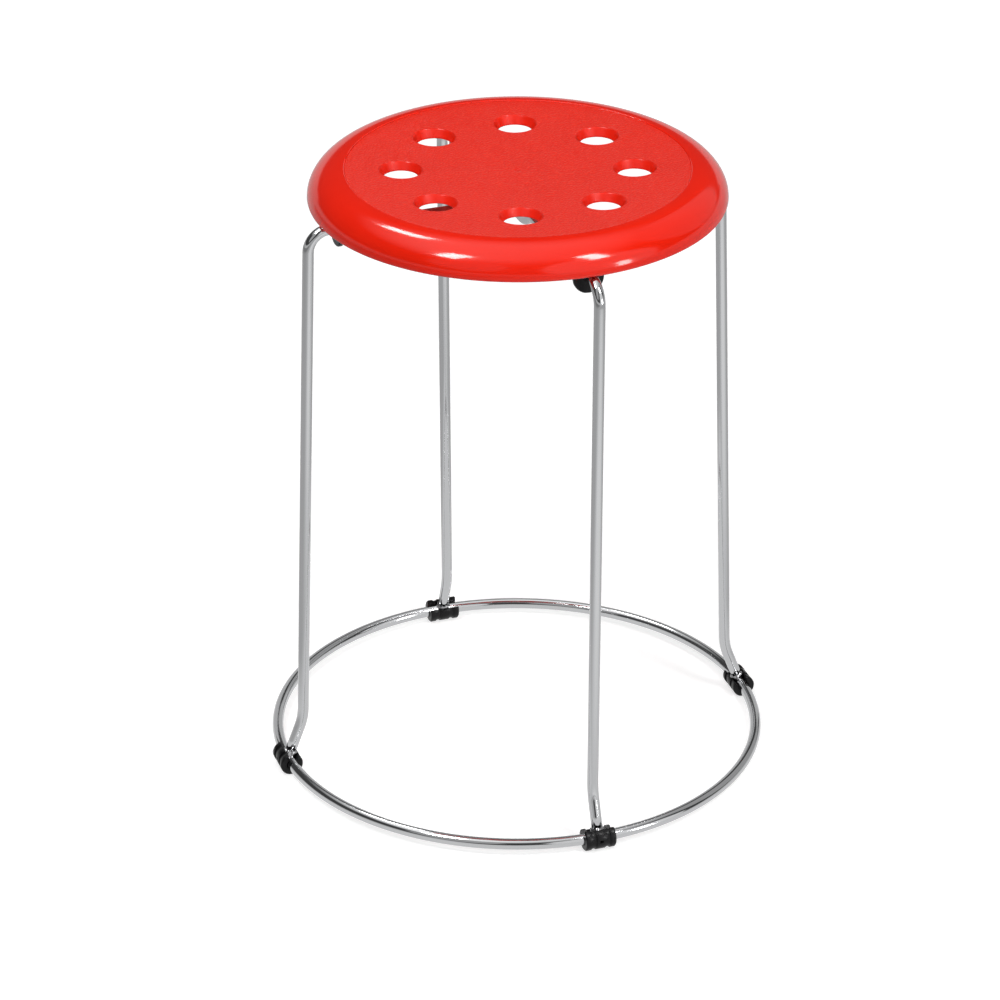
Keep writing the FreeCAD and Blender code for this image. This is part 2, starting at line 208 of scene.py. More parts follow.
def bent_line(corners, bend_radii, arc_steps=28, run_step=0.006):
    """Points along straight runs joined by tangent arcs of the given radii.

    At each corner the arc starts r tan(half turn) before it, and its points are
    centre + r (cos t u + sin t w), with u towards the arc's start and w ahead.
    """
    parts = []
    start = corners[0]
    for before, corner, after, radius in zip(corners, corners[1:], corners[2:], bend_radii):
        coming = (corner - before) / np.linalg.norm(corner - before)
        going = (after - corner) / np.linalg.norm(after - corner)
        turn = math.acos(np.clip(coming @ going, -1, 1))
        reach = radius * math.tan(turn / 2)
        arc_start = corner - coming * reach
        inward = going - (going @ coming) * coming
        inward /= np.linalg.norm(inward)
        count = max(2, int(np.linalg.norm(arc_start - start) / run_step))
        share = np.linspace(0, 1, count, endpoint=False)[:, None]
        parts.append(start + share * (arc_start - start))
        angle = np.linspace(0, turn, arc_steps, endpoint=False)[:, None]
        centre = arc_start + inward * radius
        parts.append(centre - inward * radius * np.cos(angle) + coming * radius * np.sin(angle))
        start = corner + going * reach
    count = max(2, int(np.linalg.norm(corners[-1] - start) / run_step))
    parts.append(start + np.linspace(0, 1, count)[:, None] * (corners[-1] - start))
    return np.concatenate(parts)


def turned_flat(points, degrees):
    """Points turned about the stool's upright axis."""
    angle = math.radians(degrees)
    turn = np.array(
        [[math.cos(angle), math.sin(angle), 0], [-math.sin(angle), math.cos(angle), 0], [0, 0, 1]]
    )
    return np.asarray(points) @ turn


def capped_faces(rows, columns):
    """The skin of a bar's grid, with a fan at each end to the two points after the grid."""
    return [
        grid_faces(rows, columns, False, True),
        end_fan(0, columns, rows * columns)[:, ::-1],
        end_fan((rows - 1) * columns, columns, rows * columns + 1),
    ]


crossbar_height = 0.424
leg_top_reach = 0.1535
leg_splay = math.radians(1.53)
kink_height = 0.040
kink_bend = 0.045
top_bend = 0.0155
dip_bend = 0.014
stub_gap = 0.0034
kink_reach = leg_top_reach + (crossbar_height - kink_height) * math.tan(leg_splay)
ring_point = np.array([ring_middle_radius, 0, ring_height])
kink_point = np.array([kink_reach, 0, kink_height])
stub_way = (kink_point - ring_point) / np.linalg.norm(kink_point - ring_point)
ring_turn = -1.9


def leg_rod(name, joggle, azimuth):
    """One bent rod from foot to foot, with any dip of its crossbar given as corners."""
    foot = turned_flat(ring_point + stub_way * stub_gap, ring_turn)
    kink = turned_flat(kink_point, ring_turn)
    top = np.array([leg_top_reach, 0, crossbar_height])
    near = [foot, kink, top]
    far = [point * [-1, -1, 1] for point in near[::-1]]
    bends = [kink_bend, top_bend] + [dip_bend] * len(joggle) + [top_bend, kink_bend]
    path = bent_line(near + [np.array(p) for p in joggle] + far, bends)
    sideways = np.array([0.0, 1.0, 0.0])
    grid = rod_grid(path, sideways, rod_radius, tube_steps)
    points = turned_flat(np.concatenate([grid.reshape(-1, 3), path[:1], path[-1:]]), azimuth)
    steps = np.linalg.norm(np.diff(path, axis=0), axis=1)
    length = np.concatenate([[0], np.cumsum(steps)])
    wrap = np.abs(np.linspace(-0.5, 0.5, tube_steps, endpoint=False))
    marks = np.stack(np.broadcast_arrays(length[:, None], wrap[None, :]), -1).reshape(-1, 2)
    marks = np.concatenate([marks, [[0, 0]], [[length[-1], 0]]])
    rod = closed_piece(name, points, capped_faces(len(path), tube_steps), marks)
    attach(rod, "root")
    return rod


rod_chrome = chrome_plate("rod_chrome", chrome_tone)
straight_rod = leg_rod("leg_rod_straight", [], 0)
straight_rod.data.materials.append(rod_chrome)
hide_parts("rod_frame_x")
dip_height = crossbar_height - 0.0082
dip_start = 0.030
dip_bottom = 0.014
dip_corners = [
    (dip_start, 0, crossbar_height),
    (dip_bottom, 0, dip_height),
    (-dip_bottom, 0, dip_height),
    (-dip_start, 0, crossbar_height),
]
dipped_rod = leg_rod("leg_rod_dipped", dip_corners, 90)
dipped_rod.data.materials.append(rod_chrome)
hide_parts("rod_frame_y")


# The welds: a small lumpy bead round each leg's foot on the ring, and one between
# the two crossbars. They are plated over with the rods, so they shine a bit duller.

def weld_bead(middle, axis, radius, height, lumps):
    """A lumpy ball of weld round an axis.

    A point of it is middle + s (cos v (cos u a + sin u b) radius + sin v axis height),
    with s = 1 + (0.05 sin(lumps u) + 0.03 sin(2 u + 5 v)) cos v.
    """
    columns = 48
    rows = 23
    off_axis = [0.3, 0.9, 0.1]
    a = np.cross(axis, off_axis)
    a /= np.linalg.norm(a)
    b = np.cross(axis, a)
    u = np.linspace(0, 2 * np.pi, columns, endpoint=False)[None, :, None]
    v = np.linspace(-np.pi / 2, np.pi / 2, rows + 2)[1:-1][:, None, None]
    swell = 1 + 0.05 * np.sin(lumps * u) * np.cos(v) + 0.03 * np.sin(2 * u + 5 * v) * np.cos(v)
    flat = np.cos(v) * (np.cos(u) * a + np.sin(u) * b) * radius
    grid = middle + swell * (flat + np.sin(v) * axis * height)
    points = np.concatenate(
        [grid.reshape(-1, 3), [middle - axis * height], [middle + axis * height]]
    )
    return points, capped_faces(rows, columns)


def joined(parts):
    """Several closed parts as one list of points and one list of face arrays."""
    points, faces, first = [], [], 0
    for part_points, part_faces in parts:
        part_points = np.asarray(part_points).reshape(-1, 3)
        points.append(part_points)
        faces += [f + first for f in part_faces]
        first += len(part_points)
    return np.concatenate(points), faces


weld_metal = bpy.data.materials.new("plated_weld")
weld_metal.use_nodes = True
weld_tree = weld_metal.node_tree
weld_shader = weld_tree.nodes["Principled BSDF"]
weld_shader.inputs["Base Color"].default_value = (0.42, 0.42, 0.43, 1)
weld_shader.inputs["Metallic"].default_value = 1
weld_shader.inputs["Roughness"].default_value = 0.24
weld_place = weld_tree.nodes.new("ShaderNodeTexCoord")
weld_grain = noise_texture(weld_tree, weld_place.outputs["Object"], scale=700, detail=4)
weld_bumps = bumped(weld_tree, weld_grain, strength=0.35, distance=0.0005)
weld_tree.links.new(weld_bumps.outputs["Normal"], weld_shader.inputs["Normal"])

bead_lift = 0.004
bead_radius = 0.0051
bead_height = 0.0048
foot_beads = []
for order, azimuth in enumerate((0, 90, 180, 270)):
    middle = turned_flat(ring_point + stub_way * bead_lift, azimuth + ring_turn)
    axis = turned_flat(stub_way, azimuth + ring_turn)
    foot_beads.append(weld_bead(middle, axis, bead_radius, bead_height, 5 + order % 3))
foot_welds = closed_piece("foot_welds", *joined(foot_beads))
foot_welds.data.materials.append(weld_metal)
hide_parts("ring_welds")
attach(foot_welds, "root")

crossing_middle = np.array([0, 0, 0.4199])
crossing_radius = 0.0052
crossing_height = 0.0032
upright = np.array([0, 0, 1.0])
crossing_bead = weld_bead(crossing_middle, upright, crossing_radius, crossing_height, 4)
crossing_weld = closed_piece("crossing_weld", *crossing_bead)
crossing_weld.data.materials.append(weld_metal)
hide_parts("centre_weld")
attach(crossing_weld, "root")


# The foot saddles and rod clips: black polypropylene mouldings with a satin,
# finely sparked skin. The saddles snap on the ring under the legs, and the clips
# hold two of the rod ends up against the seat.

black_plastic = bpy.data.materials.new("black_plastic")
black_plastic.use_nodes = True
black_tree = black_plastic.node_tree
black_shader = black_tree.nodes["Principled BSDF"]
black_shader.inputs["Specular IOR Level"].default_value = 0.2
black_place = black_tree.nodes.new("ShaderNodeTexCoord")
black_cloud = noise_texture(black_tree, black_place.outputs["Object"], scale=240, detail=3)
black_tone = black_tree.nodes.new("ShaderNodeValToRGB")
black_tone.color_ramp.elements[0].position = 0.35
black_tone.color_ramp.elements[0].color = (0.005, 0.005, 0.0055, 1)
black_tone.color_ramp.elements[1].position = 0.75
black_tone.color_ramp.elements[1].color = (0.011, 0.011, 0.012, 1)
black_tree.links.new(black_cloud, black_tone.inputs["Fac"])
black_tree.links.new(black_tone.outputs["Color"], black_shader.inputs["Base Color"])
black_gloss = mapped(black_tree, black_cloud, (0, 1), (0.22, 0.42))
black_tree.links.new(black_gloss, black_shader.inputs["Roughness"])
black_sparks = noise_texture(black_tree, black_place.outputs["Object"], scale=1500, detail=2)
black_bumps = bumped(black_tree, black_sparks, strength=0.3, distance=0.0002)
black_tree.links.new(black_bumps.outputs["Normal"], black_shader.inputs["Normal"])

black_names = ["foot_saddle_" + side for side in ("right", "rear", "left", "front")]
black_names += ["rod_clip_" + side for side in ("left", "front")]
for name in black_names:
    moulding = nodes[name]
    moulding.data.materials.clear()
    moulding.data.materials.append(black_plastic)
    sewn = moulding.modifiers.new("sewn", "WELD")
    sewn.merge_threshold = 0.000005
    rounding = moulding.modifiers.new("rounding", "BEVEL")
    rounding.width = 0.00035
    rounding.segments = 2
    rounding.limit_method = "ANGLE"
    rounding.angle_limit = math.radians(40)


# The clip screws: zinc plated tapping screws with pan heads. They point up through
# the clips' lugs into the seat's posts.

zinc = bpy.data.materials.new("zinc_plate")
zinc.use_nodes = True
zinc_tree = zinc.node_tree
zinc_shader = zinc_tree.nodes["Principled BSDF"]
zinc_shader.inputs["Metallic"].default_value = 1
zinc_shader.inputs["Base Color"].default_value = (0.6, 0.61, 0.63, 1)
zinc_place = zinc_tree.nodes.new("ShaderNodeTexCoord")
zinc_spots = noise_texture(zinc_tree, zinc_place.outputs["Object"], scale=900, detail=2)
zinc_gloss = mapped(zinc_tree, zinc_spots, (0, 1), (0.22, 0.5))
zinc_tree.links.new(zinc_gloss, zinc_shader.inputs["Roughness"])


screw_length = 0.0150
screw_pitch = 0.0014
screw_core = 0.0014
screw_crest = 0.0004
screw_point = 0.0035
head_radius = 0.0037
head_height = 0.0024
dome_height = 0.0015
slot_half = 0.00062
slot_reach = 0.0019
slot_floor = 0.0012


def tapping_screw(place):
    """A pan-head tapping screw that points up, its head's underside at the given place.

    The shank's radius is core + crest (2 |f - 1/2|)^4, with f the fraction of
    z / pitch - u / 2 pi, narrowed to a point at the top. The head is an ellipse
    arc turned about the axis, sunk by a cross of two soft-edged slots.
    """
    columns = 72
    u = np.linspace(0, 2 * np.pi, columns, endpoint=False)[None, :]
    rise = np.linspace(0, 1, 90)[:, None] * screw_length
    fraction = (rise / screw_pitch - u / (2 * np.pi)) % 1
    narrowing = np.clip((screw_length - rise) / screw_point, 0.02, 1)
    radius = (screw_core + screw_crest * (2 * np.abs(fraction - 0.5)) ** 4) * narrowing
    shank = np.stack([radius * np.cos(u), radius * np.sin(u), rise + 0 * u], -1)
    reach = np.linspace(0.04, 1, 26)[:, None] * head_radius
    x = reach * np.cos(u)
    y = reach * np.sin(u)

    def slot_depth(across, along):
        side = np.clip((slot_half - np.abs(across)) / 0.00025, 0, 1)
        end = np.clip((slot_reach - np.abs(along)) / 0.0004, 0, 1)
        return slot_floor * side * end

    sunk = np.maximum(slot_depth(x, y), slot_depth(y, x))
    arc = 1 - np.sqrt(1 - (reach / head_radius) ** 2 * 0.98)
    dome = -head_height + dome_height * arc + sunk
    head = np.stack([x, y, dome + 0 * u], -1)
    neck = screw_core + screw_crest
    rim = np.stack([head_radius * np.cos(u), head_radius * np.sin(u), 0 * u], -1)
    collar = np.stack([neck * np.cos(u), neck * np.sin(u), 0 * u], -1)
    grid = place + np.concatenate([head, rim, collar, shank])
    ends = place + np.array([[0, 0, slot_floor - head_height], [0, 0, screw_length]])
    points = np.concatenate([grid.reshape(-1, 3), ends])
    return points, capped_faces(len(grid), columns)


screw_reach = 0.1183
screw_aside = 0.0165
lug_height = 0.4240
screw_places = []
for azimuth in (180, 270):
    for half in (-1, 1):
        screw_places.append(turned_flat([screw_reach, half * screw_aside, lug_height], azimuth))
screws = closed_piece("tapping_screws", *joined([tapping_screw(p) for p in screw_places]))
screws.data.set_sharp_from_angle(angle=math.radians(50))
screws.data.materials.append(zinc)
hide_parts("clip_screws")
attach(screws, "root")


# The seat shell: one red injection moulding with a wall of 3 mm. A shallow dished
# panel with a fine grain is sunk a little into a glossy rim that rolls over to a
# rounded lower edge, and eight tapered holes with collars go through the panel.

seat_height = 0.450
panel_radius = 0.1205
panel_step = 0.0005
panel_dish = 0.0027
crest_radius = 0.1214
seat_radius = 0.1465
seat_wall = 0.003
lip_height = 0.4295
hole_reach = 0.0812
hole_turn = 3.0
mouth_radius = 0.0152
throat_radius = 0.01215
hole_depth = 0.0057
collar_wall = 0.0024
mouth_rounding = 0.0009
bore_slope = math.atan2(mouth_radius - throat_radius, hole_depth)
mouth_reach = mouth_rounding * math.tan((np.pi / 2 - bore_slope) / 2)
gate_depth = 0.00025
gate_radius = 0.0024
nib_radius = 0.0009
step_overlap = 0.0001
step_width = 0.0007
hole_count = 8
rim_steps = 256
cell_steps = rim_steps // hole_count


def top_height(radius):
    """The panel's dish, a parabola, with the small step up to the rim as a smooth ramp.

    In the middle is the mark of the moulding gate, a bell-shaped dimple round a nib.
    """
    dish = seat_height - panel_step - panel_dish * (1 - (radius / panel_radius) ** 2)
    dimple = np.exp(-((radius / gate_radius) ** 2))
    nib = np.exp(-((radius / nib_radius) ** 2))
    dish = dish - gate_depth * dimple * (1 - 1.4 * nib)
    share = np.clip((radius - panel_radius + step_overlap) / step_width, 0, 1)
    ramp = share * share * (3 - 2 * share)
    lifted = dish * (1 - ramp) + seat_height * ramp
    return np.where(radius < panel_radius + 0.001, lifted, seat_height)


def under_height(radius):
    """The inner skin under the panel and the rim's crest, one wall below the outside."""
    dish = seat_height - panel_step - panel_dish * (1 - (radius / panel_radius) ** 2)
    return np.minimum(dish, seat_height - panel_step) - seat_wall


def round_rows(radii, heights):
    """Rows of points turned about the upright axis, one row for each radius and height."""
    turns = (np.arange(rim_steps) / rim_steps * 2 * np.pi)[None, :]
    radii = np.asarray(radii)[:, None]
    return np.stack(
        np.broadcast_arrays(
            radii * np.cos(turns), radii * np.sin(turns), np.asarray(heights)[:, None]
        ),
        -1,
    )


def hole_cell(middle_turn, inner, outer, hole_radius, height_of):
    """The piece of skin round one hole: an eighth of a flat ring with a round gap.

    Points run straight from the gap's circle to the edge of the eighth, spaced by
    a share s, so each is (1 - s) circle + s edge, lifted to the skin's height.
    """
    steps = np.arange(cell_steps) / cell_steps
    half = np.pi / hole_count
    arc_out = middle_turn - half + steps * 2 * half
    arc_in = middle_turn + half - steps * 2 * half
    run = inner + (outer - inner) * steps
    edge_radius = np.concatenate(
        [np.full(cell_steps, outer), run[::-1] + (outer - inner) / cell_steps,
         np.full(cell_steps, inner), run]
    )
    edge_turn = np.concatenate(
        [arc_out, np.full(cell_steps, middle_turn + half), arc_in,
         np.full(cell_steps, middle_turn - half)]
    )
    edge = np.stack([edge_radius * np.cos(edge_turn), edge_radius * np.sin(edge_turn)], -1)
    middle = hole_reach * np.array([math.cos(middle_turn), math.sin(middle_turn)])
    outward = edge - middle
    circle = middle + hole_radius * outward / np.linalg.norm(outward, axis=1, keepdims=True)
    share = np.linspace(0, 1, 11)[:, None, None] ** 1.3
    flat = (1 - share) * circle + share * edge
    return np.concatenate([flat, height_of(np.linalg.norm(flat, axis=2))[..., None]], -1)


def hole_sleeve(middle_turn, inner, outer):
    """The inside of one hole and the outside of its collar, as rings round its axis.

    The mouth is rounded over, the bore tapers to the throat, and the collar's
    outside tapers the same way. Near the mouth the rings follow the dished skin.
    """
    bend = np.linspace(0, np.pi / 2 - bore_slope, 7)
    radii = [mouth_radius + mouth_reach - mouth_rounding * np.sin(bend)]
    drops = [mouth_rounding * (1 - np.cos(bend))]
    taper = np.linspace(0, 1, 9)[1:]
    radii.append(radii[0][-1] + (throat_radius - radii[0][-1]) * taper)
    drops.append(drops[0][-1] + (hole_depth - drops[0][-1]) * taper)
    bore_rows = len(bend) + len(taper)
    foot = np.linspace(0, np.pi, 9)[1:]
    radii.append(throat_radius + collar_wall / 2 * (1 - np.cos(foot)))
    drops.append(hole_depth + collar_wall / 4 * np.sin(foot))
    skirt = np.linspace(0, 1, 5)[1:]
    skin_radius = collar_skin_radius()
    radii.append(radii[2][-1] + (skin_radius - radii[2][-1]) * skirt)
    drops.append(hole_depth + (seat_wall - hole_depth) * skirt)
    radii = np.concatenate(radii)[:, None]
    drops = np.concatenate(drops)[:, None]
    cell = hole_cell(middle_turn, inner, outer, 1.0, under_height)[0, :, :2]
    middle = hole_reach * np.array([math.cos(middle_turn), math.sin(middle_turn)])
    spokes = cell - middle
    flat = middle + radii[..., None] * spokes
    skin = under_height(np.linalg.norm(flat, axis=2)) + seat_wall
    level = under_height(np.array(hole_reach)) + seat_wall
    in_bore = np.clip(1 - drops / hole_depth, 0, 1)
    on_collar = 1 - (drops - seat_wall) / (hole_depth - seat_wall)
    follow = np.where(np.arange(len(drops))[:, None] < bore_rows, in_bore, on_collar)
    height = follow * skin + (1 - follow) * level - drops
    return np.concatenate([flat, height[..., None]], -1)


def collar_skin_radius():
    """Where the collar's tapered outside meets the seat's inner skin."""
    return mouth_radius + collar_wall - (mouth_radius - throat_radius) * seat_wall / hole_depth


inner_edge = 0.055
outer_edge = 0.106
roll = np.linspace(np.pi / 2, 0, 40)
rolled_radii = crest_radius + (seat_radius - crest_radius) * np.cos(roll)
rolled_heights = lip_height + (seat_height - lip_height) * np.sin(roll)
lip = np.linspace(0, -np.pi, 17)[1:]
lip_radii = seat_radius - seat_wall / 2 + seat_wall / 2 * np.cos(lip)
lip_heights = lip_height + seat_wall / 2 * np.sin(lip)
inner_roll = np.linspace(0, np.pi / 2, 30)[1:]
inner_radii = crest_radius + (seat_radius - seat_wall - crest_radius) * np.cos(inner_roll)
inner_crest = under_height(np.array(crest_radius))
inner_heights = lip_height + (inner_crest - lip_height) * np.sin(inner_roll)
step_radii = np.linspace(0.1197, crest_radius, 16)[:-1]
flat_radii = np.concatenate([np.linspace(outer_edge, 0.1195, 10), step_radii])
under_radii = np.linspace(crest_radius, outer_edge, 12)[1:]
rim_radii = np.concatenate([flat_radii, rolled_radii, lip_radii, inner_radii, under_radii])
rim_heights = np.concatenate(
    [top_height(flat_radii), rolled_heights, lip_heights, inner_heights, under_height(under_radii)]
)
hub_radii = np.concatenate([np.linspace(0.0003, 0.006, 16), np.linspace(0.008, inner_edge, 14)])
patches = [round_rows(rim_radii, rim_heights)]
patches.append(round_rows(hub_radii, top_height(hub_radii)))
patches.append(round_rows(hub_radii, under_height(hub_radii)))
patches = [turned_flat(patch, hole_turn) for patch in patches]
shell_points, shell_faces, first = [], [], 0
for patch in patches:
    shell_points.append(patch.reshape(-1, 3))
    shell_faces.append(grid_faces(patch.shape[0], rim_steps, False, True, first))
    first += patch.shape[0] * rim_steps
top_start = len(rim_radii) * rim_steps
under_start = top_start + len(hub_radii) * rim_steps
for start, height_of in ((top_start, top_height), (under_start, under_height)):
    shell_points.append(np.array([[0, 0, float(height_of(np.array(0.0)))]]))
    shell_faces.append(end_fan(start, rim_steps, first))
    first += 1
for order in range(hole_count):
    middle_turn = math.radians((order + 0.5) * 360 / hole_count + hole_turn)
    for patch in (
        hole_cell(middle_turn, inner_edge, outer_edge, mouth_radius + mouth_reach, top_height),
        hole_cell(middle_turn, inner_edge, outer_edge, collar_skin_radius(), under_height),
        hole_sleeve(middle_turn, inner_edge, outer_edge),
    ):
        rows, columns = patch.shape[:2]
        shell_points.append(patch.reshape(-1, 3))
        shell_faces.append(grid_faces(rows, columns, False, True, first))
        first += rows * columns
seat_shell = closed_piece("seat_shell", np.concatenate(shell_points), shell_faces)
sewing = bmesh.new()
sewing.from_mesh(seat_shell.data)
bmesh.ops.remove_doubles(sewing, verts=sewing.verts, dist=0.00002)
bmesh.ops.recalc_face_normals(sewing, faces=sewing.faces)
sewing.to_mesh(seat_shell.data)
sewing.free()
seat_shell.data.polygons.foreach_set("use_smooth", np.ones(len(seat_shell.data.polygons), bool))

def combined(tree, operation, first_value, second_value):
    """Two values joined by a math node."""
    step = tree.nodes.new("ShaderNodeMath")
    step.operation = operation
    tree.links.new(first_value, step.inputs[0])
    tree.links.new(second_value, step.inputs[1])
    return step.outputs["Value"]


red_plastic = bpy.data.materials.new("red_plastic")
red_plastic.use_nodes = True
red_tree = red_plastic.node_tree
red_shader = red_tree.nodes["Principled BSDF"]
red_shader.inputs["Specular IOR Level"].default_value = 0.42
red_place = red_tree.nodes.new("ShaderNodeTexCoord")
red_flat = red_tree.nodes.new("ShaderNodeVectorMath")
red_flat.operation = "MULTIPLY"
red_flat.inputs[1].default_value = (1, 1, 0)
red_tree.links.new(red_place.outputs["Object"], red_flat.inputs[0])
red_reach = red_tree.nodes.new("ShaderNodeVectorMath")
red_reach.operation = "LENGTH"
red_tree.links.new(red_flat.outputs["Vector"], red_reach.inputs[0])
panel_edge = (panel_radius - 0.0006, panel_radius - 0.0002)
panel_share = mapped(red_tree, red_reach.outputs["Value"], panel_edge, (1, 0))
red_parts = red_tree.nodes.new("ShaderNodeSeparateXYZ")
red_tree.links.new(red_place.outputs["Object"], red_parts.inputs["Vector"])
dish_square = red_tree.nodes.new("ShaderNodeMath")
dish_square.operation = "POWER"
dish_square.inputs[1].default_value = 2
red_tree.links.new(red_reach.outputs["Value"], dish_square.inputs[0])
over_dish = red_tree.nodes.new("ShaderNodeMath")
over_dish.operation = "MULTIPLY_ADD"
over_dish.inputs[1].default_value = -panel_dish / panel_radius**2
red_tree.links.new(dish_square.outputs["Value"], over_dish.inputs[0])
red_tree.links.new(red_parts.outputs["Z"], over_dish.inputs[2])
dish_bottom = seat_height - panel_step - panel_dish
skin_edge = (dish_bottom - 0.00012, dish_bottom - 0.00004)
skin_share = mapped(red_tree, over_dish.outputs["Value"], skin_edge, (0, 1))
grain_share = combined(red_tree, "MULTIPLY", panel_share, skin_share)
red_cloud = noise_texture(red_tree, red_place.outputs["Object"], scale=18, detail=3)
red_tone = red_tree.nodes.new("ShaderNodeValToRGB")
red_tone.color_ramp.elements[0].position = 0.3
red_tone.color_ramp.elements[0].color = (0.805, 0.0130, 0.0020, 1)
red_tone.color_ramp.elements[1].position = 0.75
red_tone.color_ramp.elements[1].color = (0.865, 0.0160, 0.0032, 1)
red_tree.links.new(red_cloud, red_tone.inputs["Fac"])
red_gloss = mapped(red_tree, panel_share, (0, 1), (0.11, 0.28))
red_tree.links.new(red_gloss, red_shader.inputs["Roughness"])
panel_grain = noise_texture(red_tree, red_place.outputs["Object"], scale=650, detail=2)
grain_height = combined(red_tree, "MULTIPLY", panel_grain, grain_share)
grain_fleck = mapped(red_tree, panel_grain, (0.47, 0.75), (0, 1))
fleck_share = combined(red_tree, "MULTIPLY", grain_fleck, grain_share)
fleck_tone = red_tree.nodes.new("ShaderNodeMix")
fleck_tone.data_type = "RGBA"
fleck_tone.inputs["B"].default_value = (0.97, 0.043, 0.018, 1)
red_tree.links.new(fleck_share, fleck_tone.inputs["Factor"])
red_tree.links.new(red_tone.outputs["Color"], fleck_tone.inputs["A"])
red_tree.links.new(fleck_tone.outputs["Result"], red_shader.inputs["Base Color"])
grain_bump = bumped(red_tree, grain_height, strength=1.0, distance=0.00055)
red_tree.links.new(grain_bump.outputs["Normal"], red_shader.inputs["Normal"])
seat_shell.data.materials.append(red_plastic)
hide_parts("seat")
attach(seat_shell, "root")


# The seat's underside: eight radial ribs and two round ones, four screw posts and two
# rod hooks, all moulded in one with the shell. The ribs deepen towards the rim, where
# the seat bears on the rods.

rod_top = 0.428
rib_base = 0.4415
rib_half = 0.0011
rib_turn = np.linspace(np.pi, 2 * np.pi, 9)
rib_side = np.concatenate([[-rib_half], rib_half * np.cos(rib_turn), [rib_half]])
rib_lift = np.concatenate([[0], rib_half * 0.5 * (1 + np.sin(rib_turn)), [0]])
rib_is_top = np.zeros(len(rib_side), bool)
rib_is_top[[0, -1]] = True
rib_start = 0.0283
rib_end = 0.1447
deep_from = 0.1094
deep_run = 0.0014
hub_rib_reach = 0.028
rim_rib_reach = 0.110


def wall_middle(radius):
    """The height halfway through the wall: a dish, and over the rim a quarter ellipse."""
    across = (radius - crest_radius) / (seat_radius - seat_wall / 2 - crest_radius)
    rolled = np.sqrt(1 - np.clip(across, 0, 1) ** 2) * (seat_height - seat_wall / 2 - lip_height)
    dished = under_height(radius) + seat_wall / 2
    return np.where(radius < crest_radius, dished, lip_height + rolled)


def radial_rib(azimuth):
    """A rib along a radius: a round-edged U section carried outwards.

    Its base drops from the shallow level to the rods' level by a smooth step
    3 s^2 - 2 s^3, and its top lies inside the wall.
    """
    radius = np.concatenate(
        [
            np.linspace(rib_start, deep_from, 40),
            np.linspace(0.1096, 0.1108, 8),
            np.linspace(0.1112, rib_end, 24),
        ]
    )[:, None]
    share = np.clip((radius - deep_from) / deep_run, 0, 1)
    base = rib_base - (rib_base - rod_top - 0.0001) * share * share * (3 - 2 * share)
    height = np.where(rib_is_top, wall_middle(radius), base + rib_lift)
    grid = np.stack(np.broadcast_arrays(radius, rib_side, height), -1)
    rows, columns = grid.shape[:2]
    points = np.concatenate([grid.reshape(-1, 3), grid[[0, -1]].mean(1)])
    return turned_flat(points, azimuth), capped_faces(rows, columns)


def round_rib(reach):
    """The same U section carried once round the stool's axis."""
    steps = 160
    turns = np.linspace(0, 2 * np.pi, steps, endpoint=False)[None, :]
    radius = (reach + rib_side)[:, None]
    top = float(wall_middle(np.array(reach)))
    height = np.where(rib_is_top, top, rib_base + rib_lift)[:, None]
    grid = np.stack(
        np.broadcast_arrays(radius * np.cos(turns), radius * np.sin(turns), height), -1
    )
    return grid.reshape(-1, 3), [grid_faces(len(rib_side), steps, True, True)]


pilot_top = 0.4392
post_top = 0.4470


def turned_post(place):
    """A screw post with its pilot hole: a profile of radius and height about its own axis."""
    radius = np.array([0.0019, 0.0019, 0.0022, 0.0041, 0.0044, 0.0045, 0.0045])
    lift = np.array([0.0003, 0, 0, 0.0001, 0.0004])
    height = np.concatenate([[pilot_top], rod_top + lift, [post_top]])
    columns = 48
    turns = np.linspace(0, 2 * np.pi, columns, endpoint=False)[None, :]
    grid = np.stack(
        np.broadcast_arrays(
            place[0] + radius[:, None] * np.cos(turns),
            place[1] + radius[:, None] * np.sin(turns),
            height[:, None],
        ),
        -1,
    )
    ends = np.array([[place[0], place[1], pilot_top], [place[0], place[1], post_top]])
    points = np.concatenate([grid.reshape(-1, 3), ends])
    return points, capped_faces(len(radius), columns)


hook_toe = -0.0040
hook_arm = 0.0042
hook_back = 0.0068
hook_under = 0.4172
hook_floor = 0.4198
hook_root = 0.4474
hook_near = 0.106
hook_far = 0.120


def rod_hook(azimuth):
    """A hook that a rod's end turns into: an L section carried 14 mm outwards."""
    section = np.array(
        [
            [hook_toe, hook_under],
            [hook_back, hook_under],
            [hook_back, hook_root],
            [hook_arm, hook_root],
            [hook_arm, hook_floor],
            [hook_toe, hook_floor],
        ]
    )
    ends = [np.column_stack([np.full(6, reach), section]) for reach in (hook_near, hook_far)]
    faces = [
        grid_faces(2, 6, False, True),
        np.array([[5, 4, 1, 0], [4, 3, 2, 1]]),
        np.array([[6, 7, 10, 11], [7, 8, 9, 10]]),
    ]
    return turned_flat(np.concatenate(ends), azimuth), faces


rib_parts = [radial_rib(45 * order) for order in range(8)]
rib_parts += [round_rib(hub_rib_reach), round_rib(rim_rib_reach)]
seat_ribs = closed_piece("seat_ribs", *joined(rib_parts))
seat_ribs.data.set_sharp_from_angle(angle=math.radians(50))
screw_posts = closed_piece("screw_posts", *joined([turned_post(p) for p in screw_places]))
screw_posts.data.set_sharp_from_angle(angle=math.radians(50))
rod_hooks = closed_piece("rod_hooks", *joined([rod_hook(0), rod_hook(90)]))
rod_hooks.data.set_sharp_from_angle(angle=math.radians(30))
hook_rounding = rod_hooks.modifiers.new("rounding", "BEVEL")
hook_rounding.width = 0.0005
hook_rounding.segments = 3
for piece in (seat_ribs, screw_posts, rod_hooks):
    piece.data.materials.append(red_plastic)
    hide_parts("seat")
    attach(piece, "root")


# The photographer's studio: a pale floor that runs out of view, soft boxes at the left,
# the right and behind, a low standing light, a broad fill, glowing cards that only
# reflections show, and the camera where the photograph puts it.

